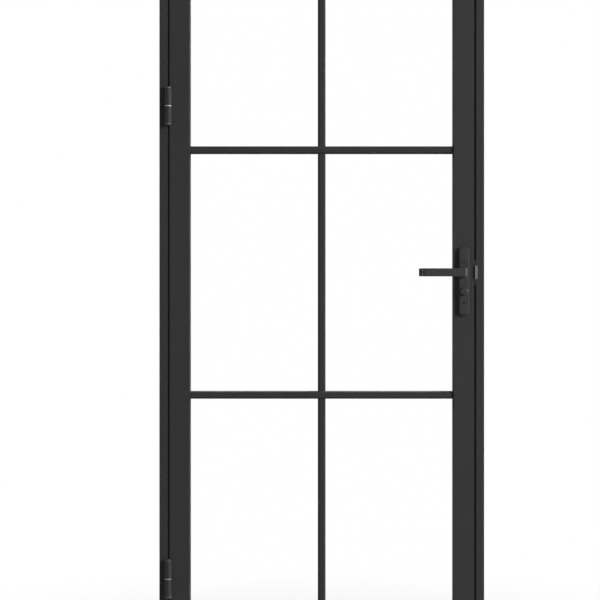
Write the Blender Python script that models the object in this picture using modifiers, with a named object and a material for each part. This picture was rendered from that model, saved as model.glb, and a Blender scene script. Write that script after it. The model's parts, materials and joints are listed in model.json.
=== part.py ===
"""Aluminium glass door: a single leaf with six panes, hung on three butt hinges in a slim aluminium frame.

Metres, +Z up. X runs along the door's width with the hinges at -X. The face that the leaf
opens towards looks along -Y, and the origin is the centre of the sill's underside.
"""

import math

import bmesh
import bpy
from mathutils import Matrix, Vector

# Clearances
CONTACT_GAP = 0.0003
RUNNING_GAP = 0.0004
HAIRLINE = 0.0010
WELD = 0.00001

# Leaf and frame, driving sizes
LEAF_WIDTH = 0.820
LEAF_HEIGHT = 2.075
LEAF_THICKNESS = 0.055
LEAF_GAP = 0.005
FRAME_FACE = 0.022
FRAME_DEPTH = 0.060
REBATE_DEPTH = 0.0115
STOP_REACH = 0.0085
EDGE_EASE = 0.0010

# Closing gasket on the stop
GASKET_THICKNESS = 0.0034
GASKET_WIDTH = 0.0030
GASKET_INSET = 0.0005
GASKET_DOME = 0.0012

# Stiles and rails of the leaf, one profile all round
LEAF_FACE = 0.055
EDGE_SETBACK = 0.0115
HARDWARE_GROOVE_WIDTH = 0.0166
HARDWARE_GROOVE_DEPTH = 0.0035
GROOVE_FROM_BACK = 0.0124

# Glazing
PANE_ROWS = 3
GLASS_THICKNESS = 0.008
GLASS_BITE = 0.006
CROSS_BAR_WIDTH = 0.0190
CROSS_BAR_RECESS = 0.0045
UPRIGHT_BAR_WIDTH = 0.020
UPRIGHT_BAR_RECESS = 0.009
BAR_BEVEL_WIDTH = 0.004
BAR_BEVEL_DEPTH = 0.003

# Hinges
HINGE_LENGTH = 0.105
HINGE_RADIUS = 0.009
HINGE_PIN_RADIUS = 0.005
HINGE_STAND_OFF = 0.0105
HINGE_END_DISTANCE = 0.242
HINGE_PAIR_DISTANCE = 0.375
WING_THICKNESS = 0.0019
WING_DEPTH = 0.007
WASHER_HEIGHT = 0.0022
CAP_HEIGHT = 0.0045
CAP_NECK_HEIGHT = 0.0008
CAP_NECK_INSET = 0.0008
CAP_ROUNDING = 0.0020

# Lock, keep and handles
LEVER_HEIGHT_ABOVE_SILL = 1.065
LEVER_INSET = 0.0276
LEVER_REACH = 0.115
LEVER_BAR_HEIGHT = 0.0218
LEVER_BAR_THICKNESS = 0.010
LEVER_PROJECTION = 0.048
LEVER_NECK_WIDTH = 0.0145
LEVER_OUTER_ROUNDING = 0.009
LEVER_END_ROUNDING = 0.008
LEVER_INNER_ROUNDING = 0.004
LEVER_EASE = 0.0012
JOURNAL_RADIUS = 0.0068
SPINDLE_SIDE = 0.008
SPINDLE_BORE_RADIUS = 0.007
PLATE_WIDTH = 0.0282
PLATE_HEIGHT = 0.184
PLATE_THICKNESS = 0.009
PLATE_END_RISE = 0.0045
PLATE_ROUNDING = 0.0035
PLATE_ABOVE_LEVER = 0.0685
CYLINDER_DROP = 0.0515
CYLINDER_RADIUS = 0.0108
CYLINDER_STAND_OUT = 0.010
CYLINDER_EASE = 0.0030
FACEPLATE_HEIGHT = 0.235
FACEPLATE_THICKNESS = 0.003
LATCH_WIDTH = 0.0115
LATCH_HEIGHT = 0.024
LATCH_STAND_OUT = 0.0032
LATCH_NOSE = 0.0022
KEEP_HEIGHT = 0.067
KEEP_DEPTH = 0.047
KEEP_THICKNESS = 0.0018
KEEP_LIP_HEIGHT = 0.035
KEEP_LIP_ROOT = 0.003
KEEP_LIP_STAND_OUT = 0.0042
KEEP_LIP_LAP = 0.0038
KEEP_HOLE_HEIGHT = 0.028
KEEP_HOLE_DEPTH = 0.0145

# Fineness of the round and eased forms
ROUND_SIDES = 32
CORNER_STEPS = 2
BEND_STEPS = 3
LEVER_STEPS = 5
GASKET_STEPS = 4
ARCH_STEPS = 12
FLAT_ANGLE = math.radians(1)
SMOOTH_ANGLE = math.radians(35)
CREASE_ANGLE = math.radians(60)

# Places worked out from the driving sizes
FRAME_BORDER = FRAME_FACE + LEAF_GAP
FRAME_WIDTH = LEAF_WIDTH + 2 * FRAME_BORDER
FRAME_HEIGHT = LEAF_HEIGHT + 2 * FRAME_BORDER
FLANGE_THICKNESS = REBATE_DEPTH - GASKET_THICKNESS - 2 * CONTACT_GAP
FRONT_Y = -FRAME_DEPTH / 2
BACK_OF_LEAF_Y = FRONT_Y + LEAF_THICKNESS
LEAF_LEFT = -LEAF_WIDTH / 2
LEAF_RIGHT = LEAF_WIDTH / 2
LEAF_BOTTOM = FRAME_BORDER
LEAF_TOP = LEAF_BOTTOM + LEAF_HEIGHT
DAYLIGHT_LEFT = LEAF_LEFT + LEAF_FACE
DAYLIGHT_RIGHT = LEAF_RIGHT - LEAF_FACE
DAYLIGHT_BOTTOM = LEAF_BOTTOM + LEAF_FACE
DAYLIGHT_TOP = LEAF_TOP - LEAF_FACE
PANE_HEIGHT = (DAYLIGHT_TOP - DAYLIGHT_BOTTOM - (PANE_ROWS - 1) * CROSS_BAR_WIDTH) / PANE_ROWS
PANE_WIDTH = (DAYLIGHT_RIGHT - DAYLIGHT_LEFT - UPRIGHT_BAR_WIDTH) / 2
ROW_PITCH = PANE_HEIGHT + CROSS_BAR_WIDTH
GLASS_MIDDLE = LEAF_THICKNESS / 2
GLASS_SLOT = GLASS_THICKNESS + 2 * CONTACT_GAP
GLASS_SLOT_DEPTH = GLASS_BITE + CONTACT_GAP
GROOVE_BACK = LEAF_THICKNESS - GROOVE_FROM_BACK
GROOVE_FRONT = GROOVE_BACK - HARDWARE_GROOVE_WIDTH
REVEAL_RIGHT = LEAF_RIGHT + LEAF_GAP

HINGE_AXIS = Vector((LEAF_LEFT - LEAF_GAP / 2, FRONT_Y - HINGE_STAND_OFF, 0.0))
HINGE_CENTRES = {
    "bottom": HINGE_END_DISTANCE,
    "middle": FRAME_HEIGHT - HINGE_END_DISTANCE - HINGE_PAIR_DISTANCE,
    "top": FRAME_HEIGHT - HINGE_END_DISTANCE,
}
LEVER_AXIS = Vector((LEAF_RIGHT - LEVER_INSET, FRONT_Y, LEVER_HEIGHT_ABOVE_SILL))

ACROSS = Vector((1, 0, 0))
DEPTH = Vector((0, 1, 0))
UP = Vector((0, 0, 1))


# Scene and materials


def clear_scene():
    for obj in list(bpy.data.objects):
        bpy.data.objects.remove(obj)


def new_collection(name, hidden=False):
    collection = bpy.data.collections.new(name)
    collection.hide_render = hidden
    bpy.context.scene.collection.children.link(collection)
    return collection


def new_material(name, colour, roughness, metallic=0.0, transmission=0.0):
    material = bpy.data.materials.new(name)
    material.use_nodes = True
    shader = material.node_tree.nodes["Principled BSDF"]
    shader.inputs["Base Color"].default_value = (*colour, 1.0)
    shader.inputs["Roughness"].default_value = roughness
    shader.inputs["Metallic"].default_value = metallic
    shader.inputs["Transmission Weight"].default_value = transmission
    return material


clear_scene()
PARTS = new_collection("aluminium_glass_door")
CUTTERS = new_collection("cutters", hidden=True)
BLACK_ALUMINIUM = new_material("black_powder_coat", (0.038, 0.038, 0.039), 0.42)
BLACK_HARDWARE = new_material("black_hardware", (0.045, 0.045, 0.046), 0.35)
BRIGHT_STEEL = new_material("bright_steel", (0.62, 0.62, 0.63), 0.28, metallic=1.0)
CLEAR_GLASS = new_material("clear_glass", (0.96, 0.98, 0.97), 0.02, transmission=1.0)
BLACK_RUBBER = new_material("black_rubber", (0.02, 0.02, 0.02), 0.75)


def body_empty(name, place, parent=None):
    """An empty that carries the pieces of one rigid body; it stands on that body's joint axis."""
    empty = bpy.data.objects.new(name, None)
    PARTS.objects.link(empty)
    empty["place"] = place
    if parent:
        empty.parent = parent
        empty.location = place - Vector(parent["place"])
    else:
        empty.location = place
    return empty


def add_piece(name, mesh, body, place, material):
    """A named piece of a body. Its mesh is drawn about its place in the door."""
    mesh.name = name
    mesh.materials.clear()
    mesh.materials.append(material)
    piece = bpy.data.objects.new(name, mesh)
    PARTS.objects.link(piece)
    piece.parent = body
    piece.location = Vector(place) - Vector(body["place"])
    return piece


# Outlines


def rounded(outline, radii, steps=CORNER_STEPS):
    """The outline with each corner turned into an arc of its radius; a radius of 0 keeps it sharp."""
    points = []
    for index, (corner, radius) in enumerate(zip(outline, radii)):
        corner = Vector(corner)
        if radius == 0:
            points.append(tuple(corner))
            continue
        back = (Vector(outline[index - 1]) - corner).normalized()
        ahead = (Vector(outline[(index + 1) % len(outline)]) - corner).normalized()
        half = back.angle(ahead) / 2
        centre = corner + (back + ahead).normalized() * radius / math.sin(half)
        first = corner + back * radius / math.tan(half) - centre
        last = corner + ahead * radius / math.tan(half) - centre
        turn = math.atan2(first.cross(last), first.dot(last))
        for step in range(steps + 1):
            points.append(tuple(centre + Matrix.Rotation(turn * step / steps, 2) @ first))
    return points


def circle(radius, centre=(0.0, 0.0), sides=ROUND_SIDES):
    turns = [2 * math.pi * side / sides for side in range(sides)]
    return [(centre[0] + radius * math.cos(a), centre[1] + radius * math.sin(a)) for a in turns]


def rectangle(left, bottom, right, top):
    return [(left, bottom), (right, bottom), (right, top), (left, top)]


# Mesh helpers


def drawn_out(outlines, length):
    """A mesh of flat outlines drawn out along +Z by a length; the second and later outlines are holes."""
    curve = bpy.data.curves.new("outline", "CURVE")
    curve.dimensions = "2D"
    curve.fill_mode = "BOTH"
    curve.extrude = length / 2
    for outline in outlines:
        spline = curve.splines.new("POLY")
        spline.points.add(len(outline) - 1)
        for point, (x, y) in zip(spline.points, outline):
            point.co = (x, y, 0.0, 1.0)
        spline.use_cyclic_u = True
    guide = bpy.data.objects.new("outline", curve)
    CUTTERS.objects.link(guide)
    graph = bpy.context.evaluated_depsgraph_get()
    mesh = bpy.data.meshes.new_from_object(guide.evaluated_get(graph))
    bpy.data.objects.remove(guide)
    bpy.data.curves.remove(curve)
    shape = bmesh.new()
    shape.from_mesh(mesh)
    bmesh.ops.remove_doubles(shape, verts=shape.verts, dist=WELD)
    bmesh.ops.translate(shape, verts=shape.verts, vec=(0.0, 0.0, length / 2))
    return finished(shape, mesh)


def finished(shape, mesh=None):
    """Writes an edited shape back to its mesh, with its faces pointing out."""
    bmesh.ops.recalc_face_normals(shape, faces=shape.faces)
    mesh = mesh or bpy.data.meshes.new("shape")
    shape.to_mesh(mesh)
    shape.free()
    mesh.shade_smooth()
    mesh.set_sharp_from_angle(angle=SMOOTH_ANGLE)
    return mesh


def turned_to(mesh, x_axis, y_axis, z_axis):
    """The mesh with its own axes laid along the three given directions."""
    shape = bmesh.new()
    shape.from_mesh(mesh)
    bmesh.ops.transform(
        shape, matrix=Matrix((x_axis, y_axis, z_axis)).transposed().to_4x4(), verts=shape.verts
    )
    return finished(shape, mesh)


def scored(mesh, low, high):
    """Edges run round the mesh at two heights, so that its long faces are short where a hole is cut."""
    shape = bmesh.new()
    shape.from_mesh(mesh)
    for height in (low, high):
        bmesh.ops.bisect_plane(
            shape,
            geom=shape.verts[:] + shape.edges[:] + shape.faces[:],
            plane_co=UP * height,
            plane_no=UP,
        )
    return finished(shape, mesh)


def cut_mitres(mesh, length):
    """Both ends cut at 45 degrees, so that the piece is longest at its outer edge, x = 0."""
    shape = bmesh.new()
    shape.from_mesh(mesh)
    for end, way in ((0.0, -1.0), (length, 1.0)):
        normal = Vector((1.0, 0.0, way)).normalized()
        bmesh.ops.bisect_plane(
            shape,
            geom=shape.verts[:] + shape.edges[:] + shape.faces[:],
            plane_co=Vector((0.0, 0.0, end)) - normal * CONTACT_GAP / 2,
            plane_no=normal,
            clear_outer=True,
        )
        rim = [edge for edge in shape.edges if edge.is_boundary]
        bmesh.ops.holes_fill(shape, edges=rim, sides=0)
    return finished(shape, mesh)


def box_mesh(low, high):
    low, high = Vector(low), Vector(high)
    shape = bmesh.new()
    bmesh.ops.create_cube(shape, size=1.0)
    bmesh.ops.scale(shape, vec=high - low, verts=shape.verts)
    bmesh.ops.translate(shape, vec=(low + high) / 2, verts=shape.verts)
    return finished(shape)


def round_mesh(radius, bottom, top, ease=0.0):
    """An upright cylinder about its own Z axis, with its top edge rounded if an ease is given."""
    shape = bmesh.new()
    bmesh.ops.create_cone(
        shape, cap_ends=True, segments=ROUND_SIDES, radius1=radius, radius2=radius, depth=top - bottom
    )
    bmesh.ops.translate(shape, vec=(0.0, 0.0, (top + bottom) / 2), verts=shape.verts)
    if ease:
        rim = [e for e in shape.edges if all(v.co.z > top - WELD for v in e.verts)]
        bevel_edges(shape, rim, ease, BEND_STEPS)
    return finished(shape)


def bevel_edges(shape, edges, width, segments):
    bmesh.ops.bevel(
        shape,
        geom=edges,
        offset=width,
        offset_type="OFFSET",
        segments=segments,
        profile=0.5,
        affect="EDGES",
        material=-1,
        clamp_overlap=True,
    )


def turned_mesh(profile):
    """A profile of (radius, height) points, top first, turned about Z with a Screw modifier."""
    mesh = bpy.data.meshes.new("turned")
    shape = bmesh.new()
    points = [shape.verts.new((radius, 0.0, height)) for radius, height in profile]
    for first, second in zip(points, points[1:]):
        shape.edges.new((first, second))
    shape.to_mesh(mesh)
    shape.free()
    guide = bpy.data.objects.new("turned", mesh)
    CUTTERS.objects.link(guide)
    screw = guide.modifiers.new("turn", "SCREW")
    screw.steps = ROUND_SIDES
    screw.render_steps = ROUND_SIDES
    screw.use_merge_vertices = True
    screw.merge_threshold = WELD
    graph = bpy.context.evaluated_depsgraph_get()
    made = bpy.data.meshes.new_from_object(guide.evaluated_get(graph))
    bpy.data.objects.remove(guide)
    shape = bmesh.new()
    shape.from_mesh(made)
    bmesh.ops.remove_doubles(shape, verts=shape.verts, dist=WELD)
    return finished(shape, made)


def combined(base, other, operation):
    """The base mesh with another joined to it or cut from it by an exact Boolean."""
    holder = bpy.data.objects.new("base", base)
    tool = bpy.data.objects.new("tool", other)
    tool.display_type = "WIRE"
    for helper in (holder, tool):
        helper.hide_render = True
        CUTTERS.objects.link(helper)
    cut = holder.modifiers.new(operation.lower(), "BOOLEAN")
    cut.operation = operation
    cut.solver = "EXACT"
    cut.object = tool
    graph = bpy.context.evaluated_depsgraph_get()
    made = bpy.data.meshes.new_from_object(holder.evaluated_get(graph))
    bpy.data.objects.remove(holder)
    bpy.data.objects.remove(tool)
    shape = bmesh.new()
    shape.from_mesh(made)
    bmesh.ops.remove_doubles(shape, verts=shape.verts, dist=WELD)
    bmesh.ops.dissolve_degenerate(shape, edges=shape.edges, dist=WELD)
    return finished(shape, made)


def extrusion(outline, length, inward, along, mitred=True):
    """A length of profile. Its outline is (distance in from the outer edge, distance back from the front)."""
    mesh = drawn_out([outline], length)
    if mitred:
        cut_mitres(mesh, length)
    return turned_to(mesh, inward, DEPTH, along)


# Profiles, as (in from the outer edge, back from the front face)


def frame_profile():
    """A slim face, and behind it the stop that the leaf's flange closes on."""
    reveal, stop = FRAME_FACE, FRAME_FACE + STOP_REACH
    outline = [
        (0.0, 0.0),
        (reveal, 0.0),
        (reveal, REBATE_DEPTH),
        (stop, REBATE_DEPTH),
        (stop, FRAME_DEPTH),
        (0.0, FRAME_DEPTH),
    ]
    return rounded(outline, [EDGE_EASE, EDGE_EASE, 0, EDGE_EASE, EDGE_EASE, EDGE_EASE])


def gasket_profile():
    """A strip with a flat foot on the stop and a domed top towards the leaf."""
    inner = FRAME_FACE + STOP_REACH - GASKET_INSET
    outer = inner - GASKET_WIDTH
    foot = REBATE_DEPTH - CONTACT_GAP
    crown = foot - GASKET_THICKNESS
    outline = [(outer, foot), (outer, crown), (inner, crown), (inner, foot)]
    return rounded(outline, [0, GASKET_DOME, GASKET_DOME, 0], GASKET_STEPS)


def glass_slot(edge):
    """The four corners of the slot that holds a pane, in the daylight edge of a stile or rail."""
    front, back = GLASS_MIDDLE - GLASS_SLOT / 2, GLASS_MIDDLE + GLASS_SLOT / 2
    floor = edge - GLASS_SLOT_DEPTH
    return [(edge, front), (floor, front), (floor, back), (edge, back)]


def leaf_profile():
    """Stiles and rails: a thin flange laps over the stop, and behind it the edge is set back and grooved."""
    groove_floor = EDGE_SETBACK + HARDWARE_GROOVE_DEPTH
    outline = [
        (0.0, 0.0),
        (LEAF_FACE, 0.0),
        *glass_slot(LEAF_FACE),
        (LEAF_FACE, LEAF_THICKNESS),
        (EDGE_SETBACK, LEAF_THICKNESS),
        (EDGE_SETBACK, GROOVE_BACK),
        (groove_floor, GROOVE_BACK),
        (groove_floor, GROOVE_FRONT),
        (EDGE_SETBACK, GROOVE_FRONT),
        (EDGE_SETBACK, FLANGE_THICKNESS),
        (0.0, FLANGE_THICKNESS),
    ]
    radii = [EDGE_EASE, EDGE_EASE, 0, 0, 0, 0, EDGE_EASE, EDGE_EASE, 0, 0, 0, 0, 0, EDGE_EASE]
    return rounded(outline, radii)


def bar_profile(width, recess):
    """A glazing bar with bevelled edges on both faces and a pane's slot in each side."""
    left, right = -width / 2, width / 2
    front, back = recess, LEAF_THICKNESS - recess
    slot_front, slot_back = GLASS_MIDDLE - GLASS_SLOT / 2, GLASS_MIDDLE + GLASS_SLOT / 2
    floor = width / 2 - GLASS_SLOT_DEPTH
    return [
        (left + BAR_BEVEL_WIDTH, front),
        (right - BAR_BEVEL_WIDTH, front),
        (right, front + BAR_BEVEL_DEPTH),
        (right, slot_front),
        (floor, slot_front),
        (floor, slot_back),
        (right, slot_back),
        (right, back - BAR_BEVEL_DEPTH),
        (right - BAR_BEVEL_WIDTH, back),
        (left + BAR_BEVEL_WIDTH, back),
        (left, back - BAR_BEVEL_DEPTH),
        (left, slot_back),
        (-floor, slot_back),
        (-floor, slot_front),
        (left, slot_front),
        (left, front + BAR_BEVEL_DEPTH),
    ]


# The fixed frame


def members_round(width, height, bottom):
    """Place, inward way, lengthwise way and length of the four mitred members round an upright rectangle."""
    half = width / 2
    return {
        "hinge": ((-half, FRONT_Y, bottom), ACROSS, UP, height),
        "lock": ((half, FRONT_Y, bottom), -ACROSS, UP, height),
        "top": ((-half, FRONT_Y, bottom + height), -UP, ACROSS, width),
        "bottom": ((-half, FRONT_Y, bottom), UP, ACROSS, width),
    }


def build_frame(body):
    """Two jambs, a head and a sill of one mitred profile, and the closing gasket on their stops."""
    names = {"hinge": "jamb_hinge_side", "lock": "jamb_lock_side", "top": "head", "bottom": "sill"}
    for side, (place, inward, along, length) in members_round(FRAME_WIDTH, FRAME_HEIGHT, 0.0).items():
        member = extrusion(frame_profile(), length, inward, along)
        add_piece(names[side], member, body, place, BLACK_ALUMINIUM)
        strip = extrusion(gasket_profile(), length, inward, along)
        if side == "lock":
            strip = notched_for_keep(strip)
        add_piece("gasket_" + names[side], strip, body, place, BLACK_RUBBER)


def notched_for_keep(strip):
    """The lock jamb's gasket, thinned from behind where the keep's web lies between it and the stop."""
    half = KEEP_HEIGHT / 2 + CONTACT_GAP
    low, high = LEVER_HEIGHT_ABOVE_SILL - half, LEVER_HEIGHT_ABOVE_SILL + half
    web_front = REBATE_DEPTH - KEEP_THICKNESS - 2 * CONTACT_GAP
    inner = FRAME_FACE + STOP_REACH
    notch = box_mesh((-inner - HAIRLINE, web_front, low), (-FRAME_FACE, REBATE_DEPTH, high))
    strip = scored(strip, low - HAIRLINE, high + HAIRLINE)
    return combined(strip, notch, "DIFFERENCE")


def build_keep(body):
    """The keep, bent round the stop: a thick edge in the gap, a web, a plate with the latch's hole, a lip."""
    place = Vector((REVEAL_RIGHT, FRONT_Y, LEVER_HEIGHT_ABOVE_SILL))
    on_reveal = -CONTACT_GAP
    on_stop_front = REBATE_DEPTH - CONTACT_GAP
    on_stop_side = -STOP_REACH - CONTACT_GAP
    plate_face = on_stop_side - KEEP_THICKNESS
    web_front = on_stop_front - KEEP_THICKNESS
    gap_side = HAIRLINE - LEAF_GAP
    outline = [
        (gap_side, CONTACT_GAP),
        (on_reveal, CONTACT_GAP),
        (on_reveal, on_stop_front),
        (on_stop_side, on_stop_front),
        (on_stop_side, KEEP_DEPTH),
        (plate_face, KEEP_DEPTH),
        (plate_face, web_front),
        (gap_side, web_front),
    ]
    keep = drawn_out([rounded(outline, [0, 0, 0, 0, 0, 0, KEEP_THICKNESS, 0], BEND_STEPS)], KEEP_HEIGHT)
    keep.transform(Matrix.Translation((0.0, 0.0, -KEEP_HEIGHT / 2)))
    hole_middle = (GROOVE_FRONT + GROOVE_BACK) / 2
    hole = box_mesh(
        (plate_face - HAIRLINE, hole_middle - KEEP_HOLE_DEPTH / 2, -KEEP_HOLE_HEIGHT / 2),
        (on_stop_side + HAIRLINE, hole_middle + KEEP_HOLE_DEPTH / 2, KEEP_HOLE_HEIGHT / 2),
    )
    lip_outline = [
        (gap_side, KEEP_LIP_ROOT),
        (gap_side, -KEEP_LIP_STAND_OUT),
        (KEEP_LIP_LAP, -HAIRLINE),
        (KEEP_LIP_LAP, -CONTACT_GAP),
        (on_reveal, -CONTACT_GAP),
        (on_reveal, KEEP_LIP_ROOT),
    ]
    lip = drawn_out([rounded(lip_outline, [0, HAIRLINE, 0, 0, 0, 0], BEND_STEPS)], KEEP_LIP_HEIGHT)
    lip.transform(Matrix.Translation((0.0, 0.0, -KEEP_LIP_HEIGHT / 2)))
    keep = combined(combined(keep, hole, "DIFFERENCE"), lip, "UNION")
    add_piece("strike_keep", keep, body, place, BLACK_HARDWARE)


# Hinges


def knuckle_profile(bottom, top, capped_end):
    """A knuckle and its end cap, as (radius, height) from the top down, with a narrow neck between them."""
    turns = [math.pi / 2 * step / CORNER_STEPS for step in range(CORNER_STEPS + 1)]
    middle = (HINGE_RADIUS - CAP_ROUNDING, CAP_HEIGHT - CAP_ROUNDING)
    outer = [
        *[(middle[0] + CAP_ROUNDING * math.sin(a), middle[1] + CAP_ROUNDING * math.cos(a)) for a in turns],
        (HINGE_RADIUS, CAP_NECK_HEIGHT),
        (HINGE_RADIUS - CAP_NECK_INSET, CAP_NECK_HEIGHT),
        (HINGE_RADIUS - CAP_NECK_INSET, 0.0),
        (HINGE_RADIUS, 0.0),
    ]
    if capped_end == "top":
        shoulder = top - CAP_HEIGHT
        return [(0.0, top)] + [(r, shoulder + h) for r, h in outer] + [(HINGE_RADIUS, bottom)]
    shoulder = bottom + CAP_HEIGHT
    lower = [(r, shoulder - h) for r, h in reversed(outer)]
    return [(HINGE_RADIUS, top)] + lower + [(0.0, bottom)]


def hinge_wing(side, knuckle_bottom, knuckle_top):
    """A wing in the gap between leaf and jamb, and the neck that joins it to its own knuckle."""
    near, far = sorted((side * CONTACT_GAP, side * (CONTACT_GAP + WING_THICKNESS)))
    clear_of_barrel = HINGE_STAND_OFF - CONTACT_GAP
    back = HINGE_STAND_OFF + WING_DEPTH
    half = HINGE_LENGTH / 2
    wing = box_mesh((near, clear_of_barrel, -half), (far, back, half))
    inside_wall = (HINGE_RADIUS + HINGE_PIN_RADIUS) / 2
    neck = box_mesh((near, inside_wall, knuckle_bottom), (far, back - WING_DEPTH / 2, knuckle_top))
    return combined(wing, neck, "UNION")


def build_hinges(frame_body, leaf_body):
    """Three butt hinges: the lower knuckle and pin on the jamb, the upper knuckle on the leaf."""
    half = HINGE_LENGTH / 2
    seam = WASHER_HEIGHT / 2 + CONTACT_GAP
    bore = HINGE_PIN_RADIUS + RUNNING_GAP
    pin_top = half - 2 * CAP_HEIGHT
    bore_top = pin_top + HAIRLINE
    for name, height in HINGE_CENTRES.items():
        place = HINGE_AXIS + UP * height

        lower = knuckle_profile(-half, -seam, "bottom")
        fixed = turned_mesh([(0.0, pin_top), (HINGE_PIN_RADIUS, pin_top), (HINGE_PIN_RADIUS, -seam)] + lower)
        wing = hinge_wing(-1, -half + CAP_HEIGHT + HAIRLINE, -seam - HAIRLINE)
        fixed = combined(fixed, wing, "UNION")
        add_piece("hinge_" + name + "_frame_half", fixed, frame_body, place, BLACK_HARDWARE)

        upper = knuckle_profile(seam, half, "top")
        swinging = turned_mesh(upper + [(bore, seam), (bore, bore_top), (0.0, bore_top)])
        wing = hinge_wing(1, seam + HAIRLINE, half - CAP_HEIGHT - HAIRLINE)
        swinging = combined(swinging, wing, "UNION")
        add_piece("hinge_" + name + "_leaf_half", swinging, leaf_body, place, BLACK_HARDWARE)

        ring = drawn_out([circle(HINGE_RADIUS), circle(bore)], WASHER_HEIGHT)
        ring.transform(Matrix.Translation((0.0, 0.0, -WASHER_HEIGHT / 2)))
        add_piece("hinge_" + name + "_washer", ring, frame_body, place, BRIGHT_STEEL)


# The leaf


def build_stiles_and_rails(body):
    """Four mitred members of one profile; the lock stile is bored for the spindle."""
    names = {
        "hinge": "stile_hinge_side",
        "lock": "stile_lock_side",
        "top": "top_rail",
        "bottom": "bottom_rail",
    }
    for side, (place, inward, along, length) in members_round(LEAF_WIDTH, LEAF_HEIGHT, LEAF_BOTTOM).items():
        member = extrusion(leaf_profile(), length, inward, along)
        if side == "lock":
            member = bored_for_spindle(member)
        add_piece(names[side], member, body, place, BLACK_ALUMINIUM)


def bored_for_spindle(stile):
    height = LEVER_AXIS.z - LEAF_BOTTOM
    bore = round_mesh(SPINDLE_BORE_RADIUS, -CONTACT_GAP, LEAF_THICKNESS + CONTACT_GAP)
    bore = turned_to(bore, ACROSS, UP, DEPTH)
    bore.transform(Matrix.Translation((-LEVER_INSET, 0.0, height)))
    stile = scored(stile, height - 2 * SPINDLE_BORE_RADIUS, height + 2 * SPINDLE_BORE_RADIUS)
    return combined(stile, bore, "DIFFERENCE")


def build_bars(body):
    """Cross bars run from stile to stile; the upright bar is cut between them, a little further back."""
    length = DAYLIGHT_RIGHT - DAYLIGHT_LEFT - 2 * CONTACT_GAP
    for name, row in (("lower", 1), ("upper", 2)):
        height = DAYLIGHT_BOTTOM + row * ROW_PITCH - CROSS_BAR_WIDTH / 2
        bar = extrusion(bar_profile(CROSS_BAR_WIDTH, CROSS_BAR_RECESS), length, UP, ACROSS, mitred=False)
        place = (DAYLIGHT_LEFT + CONTACT_GAP, FRONT_Y, height)
        add_piece("cross_bar_" + name, bar, body, place, BLACK_ALUMINIUM)
    for row, name in enumerate(("bottom", "middle", "top")):
        profile = bar_profile(UPRIGHT_BAR_WIDTH, UPRIGHT_BAR_RECESS)
        bar = extrusion(profile, PANE_HEIGHT - 2 * CONTACT_GAP, ACROSS, UP, mitred=False)
        bottom = DAYLIGHT_BOTTOM + row * ROW_PITCH + CONTACT_GAP
        add_piece("upright_bar_" + name, bar, body, (0.0, FRONT_Y, bottom), BLACK_ALUMINIUM)


def build_panes(body):
    """Six panes, each let into the slots of the members round it."""
    for row, level in enumerate(("bottom", "middle", "top")):
        for side, edge in (("left", DAYLIGHT_LEFT), ("right", UPRIGHT_BAR_WIDTH / 2)):
            pane = box_mesh(
                (-GLASS_BITE, -GLASS_THICKNESS / 2, -GLASS_BITE),
                (PANE_WIDTH + GLASS_BITE, GLASS_THICKNESS / 2, PANE_HEIGHT + GLASS_BITE),
            )
            place = (edge, FRONT_Y + GLASS_MIDDLE, DAYLIGHT_BOTTOM + row * ROW_PITCH)
            add_piece("glass_" + level + "_" + side, pane, body, place, CLEAR_GLASS)


# Lock and handles


def backplate_mesh():
    """The long plate: low arched ends, a rounded front edge and holes for the lever and the cylinder."""
    top, half = PLATE_ABOVE_LEVER, PLATE_WIDTH / 2
    bottom = top - PLATE_HEIGHT
    arch_radius = (half**2 + PLATE_END_RISE**2) / (2 * PLATE_END_RISE)
    spread = math.asin(half / arch_radius)
    arch = [spread - 2 * spread * step / ARCH_STEPS for step in range(ARCH_STEPS + 1)]
    crown = top - arch_radius
    root = bottom + arch_radius
    upper = [(arch_radius * math.sin(a), crown + arch_radius * math.cos(a)) for a in arch]
    lower = [(-x, root - (y - crown)) for x, y in upper]
    mesh = drawn_out([upper + lower], PLATE_THICKNESS)
    shape = bmesh.new()
    shape.from_mesh(mesh)
    bmesh.ops.dissolve_limit(shape, angle_limit=FLAT_ANGLE, verts=shape.verts, edges=shape.edges)
    rim = [e for e in shape.edges if all(v.co.z > PLATE_THICKNESS - WELD for v in e.verts)]
    bevel_edges(shape, rim, PLATE_ROUNDING, BEND_STEPS)
    plate = finished(shape, mesh)
    for radius, drop in (
        (JOURNAL_RADIUS + RUNNING_GAP, 0.0),
        (CYLINDER_RADIUS + CONTACT_GAP, CYLINDER_DROP),
    ):
        bore = round_mesh(radius, -CONTACT_GAP, PLATE_THICKNESS + CONTACT_GAP)
        bore.transform(Matrix.Translation((0.0, -drop, 0.0)))
        plate = combined(plate, bore, "DIFFERENCE")
    return plate


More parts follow.
